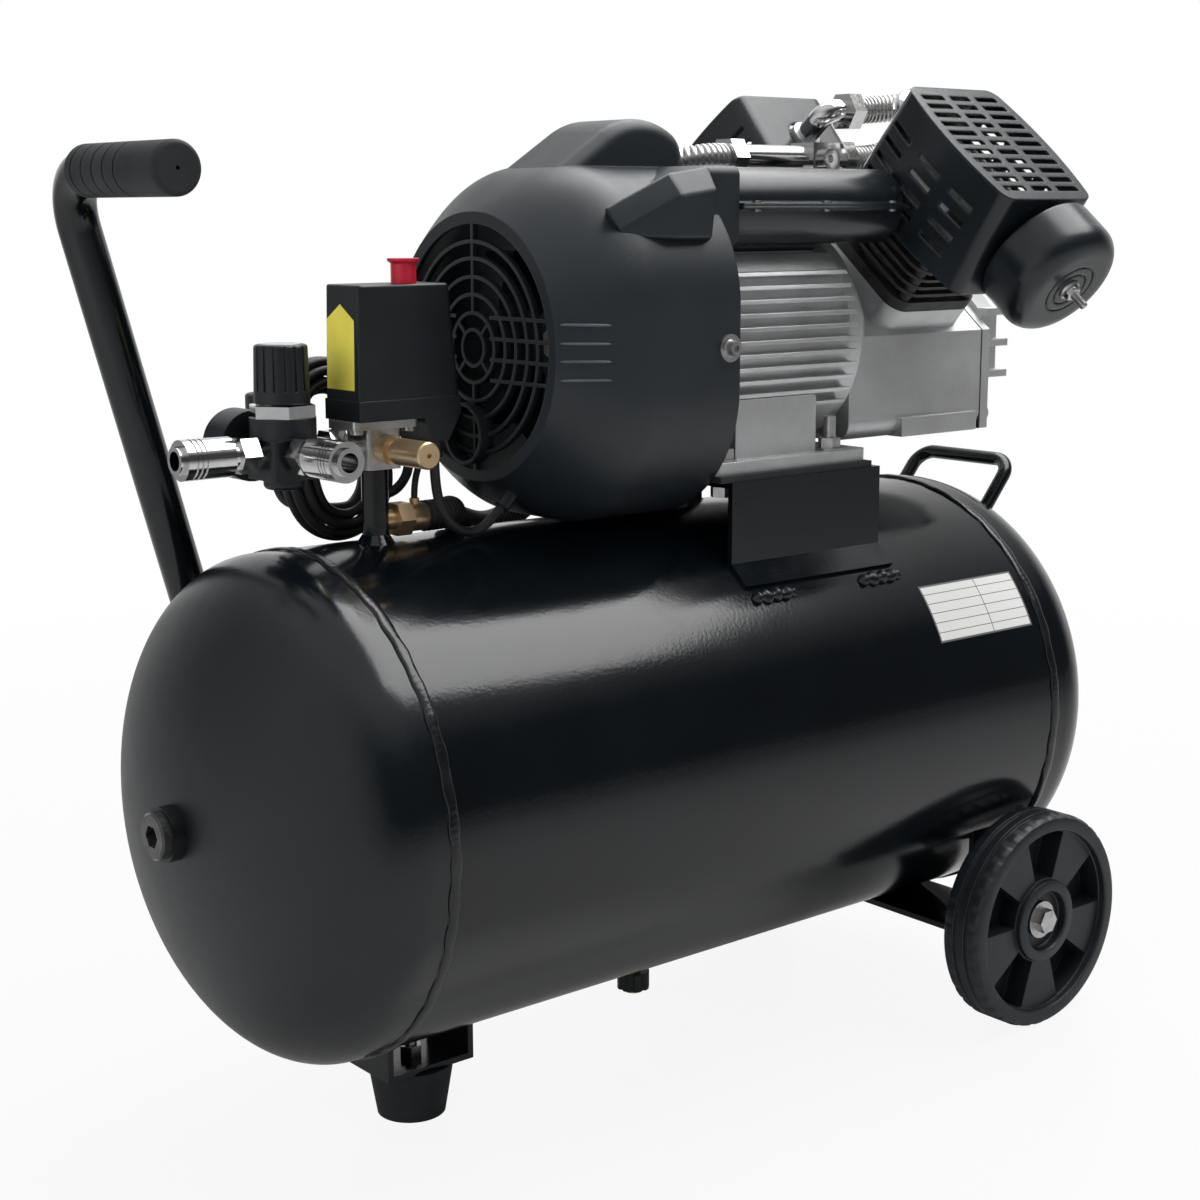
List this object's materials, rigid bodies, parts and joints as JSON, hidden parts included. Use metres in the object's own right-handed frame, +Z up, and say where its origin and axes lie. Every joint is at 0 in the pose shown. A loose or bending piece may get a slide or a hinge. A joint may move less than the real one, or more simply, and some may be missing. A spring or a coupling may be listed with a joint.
{
  "type": "air compressor",
  "caption": "Portable electric piston air compressor: horizontal tank on wheels and a rubber foot, V-twin pump and motor on top, pressure switch, regulator and quick couplers.",
  "frame": {"origin": "on the floor under the middle of the machine's bounding box", "axes": "+Z up, +X along the tank from the push handle to the wheels, +Y away from the side with the rating plate"},
  "size_m": [0.698, 0.3836, 0.64],
  "materials": {
    "black_paint": "gloss",
    "satin_black_paint": "satin",
    "dark_iron": "rough painted",
    "bright_steel": "zinc plated",
    "core_steel": "laminated",
    "cast_aluminium": "cast",
    "zinc": "die cast",
    "rubber": "matte",
    "wheel_plastic": "moulded",
    "cowl_plastic": "moulded",
    "switch_plastic": "moulded",
    "red_plastic": "gloss",
    "chrome": "polished",
    "brass": "turned",
    "needle_paint": "matte",
    "cord_rubber": "matte"
  },
  "bodies": {
    "chassis": {"tank_shell": "black_paint", "tank_head_left": "black_paint", "tank_head_right": "black_paint", "motor_saddle": "black_paint", "foot_bracket": "black_paint", "axle_bracket": "black_paint", "push_handle": "black_paint", "carry_handle": "black_paint", "riser_pipe": "black_paint", "head_guards": "satin_black_paint", "capacitor_cover_upper": "satin_black_paint", "capacitor_cover_lower": "satin_black_paint", "cylinders": "dark_iron", "tank_plug": "bright_steel", "frame_bolts": "bright_steel", "head_bolts": "bright_steel", "cover_fasteners": "bright_steel", "bearings": "bright_steel", "valve_plates": "bright_steel", "stator": "core_steel", "motor_housing": "cast_aluminium", "end_bell": "cast_aluminium", "crankcase": "cast_aluminium", "crankcase_cover": "cast_aluminium", "cylinder_heads": "cast_aluminium", "run_capacitor": "cast_aluminium", "switch_manifold": "zinc", "motor_pads": "rubber", "rubber_foot": "rubber", "handle_grip": "rubber", "cover_gasket": "rubber", "fan_cowl": "cowl_plastic", "intake_filters": "cowl_plastic", "switch_base": "switch_plastic", "switch_cover": "switch_plastic", "regulator_body": "switch_plastic", "gauge_case": "switch_plastic", "discharge_pipes": "chrome", "chrome_fittings": "chrome", "brass_valves": "brass", "drain_valve": "brass", "discharge_hose": "cord_rubber", "mains_cord": "cord_rubber", "mains_plug": "cord_rubber", "motor_lead": "cord_rubber", "unloader_tube": "cord_rubber"},
    "wheel_near": {"wheel_near": "wheel_plastic"},
    "wheel_far": {"wheel_far": "wheel_plastic"},
    "crank": {"crankshaft": "bright_steel", "cooling_fan": "cowl_plastic"},
    "rod_near": {"conrod_near": "cast_aluminium"},
    "rod_far": {"conrod_far": "cast_aluminium"},
    "piston_near": {"piston_near": "cast_aluminium"},
    "piston_far": {"piston_far": "cast_aluminium"},
    "switch_knob": {"switch_knob": "red_plastic"},
    "regulator_knob": {"regulator_knob": "switch_plastic"},
    "sleeve_left": {"coupler_sleeve_left": "chrome"},
    "sleeve_front": {"coupler_sleeve_front": "chrome"},
    "gauge_needle": {"gauge_needle": "needle_paint"},
    "drain_knob": {"drain_knob": "switch_plastic"}
  },
  "joints": [
    {"name": "wheel_near_spin", "type": "hinge", "parent": "chassis", "child": "wheel_near", "pos_m": [0.2375, -0.156, 0.075], "axis": [0, 1, 0], "continuous": true},
    {"name": "wheel_far_spin", "type": "hinge", "parent": "chassis", "child": "wheel_far", "pos_m": [0.2375, 0.156, 0.075], "axis": [0, 1, 0], "continuous": true},
    {"name": "crank_spin", "type": "hinge", "parent": "chassis", "child": "crank", "pos_m": [0.1, 0, 0.476], "axis": [1, 0, 0], "continuous": true},
    {"name": "rod_near_swing", "type": "hinge", "parent": "crank", "child": "rod_near", "pos_m": [0.223, 0, 0.487], "axis": [1, 0, 0], "continuous": true},
    {"name": "rod_far_swing", "type": "hinge", "parent": "crank", "child": "rod_far", "pos_m": [0.209, 0, 0.487], "axis": [1, 0, 0], "continuous": true},
    {"name": "piston_near_slide", "type": "slide", "parent": "chassis", "child": "piston_near", "axis": [0, -0.6428, 0.766], "range_m": [-0.019, 0.003]},
    {"name": "piston_far_slide", "type": "slide", "parent": "chassis", "child": "piston_far", "axis": [0, 0.6428, 0.766], "range_m": [-0.019, 0.003]},
    {"name": "switch_knob_push", "type": "slide", "parent": "chassis", "child": "switch_knob", "axis": [0, 0, 1], "range_m": [-0.006, 0]},
    {"name": "regulator_knob_turn", "type": "hinge", "parent": "chassis", "child": "regulator_knob", "pos_m": [-0.255, 0, 0.465], "axis": [0, 0, 1], "range_deg": [0, 1080]},
    {"name": "sleeve_left_pull", "type": "slide", "parent": "chassis", "child": "sleeve_left", "axis": [1, 0, 0], "range_m": [0, 0.004], "stiffness_N_per_m": 1500, "springref_m": -0.002},
    {"name": "sleeve_front_pull", "type": "slide", "parent": "chassis", "child": "sleeve_front", "axis": [0, 1, 0], "range_m": [0, 0.004], "stiffness_N_per_m": 1500, "springref_m": -0.002},
    {"name": "gauge_needle_turn", "type": "hinge", "parent": "chassis", "child": "gauge_needle", "pos_m": [-0.262, 0.036, 0.425], "axis": [0, -1, 0], "range_deg": [0, 270]},
    {"name": "drain_knob_turn", "type": "hinge", "parent": "chassis", "child": "drain_knob", "pos_m": [0.0075, 0, 0.04], "axis": [0, 0, 1], "range_deg": [0, 720]}
  ],
  "couplings": [
    {"joint": "rod_near_swing", "follows": "crank_spin", "ratio": -1},
    {"joint": "rod_far_swing", "follows": "crank_spin", "ratio": -1}
  ]
}
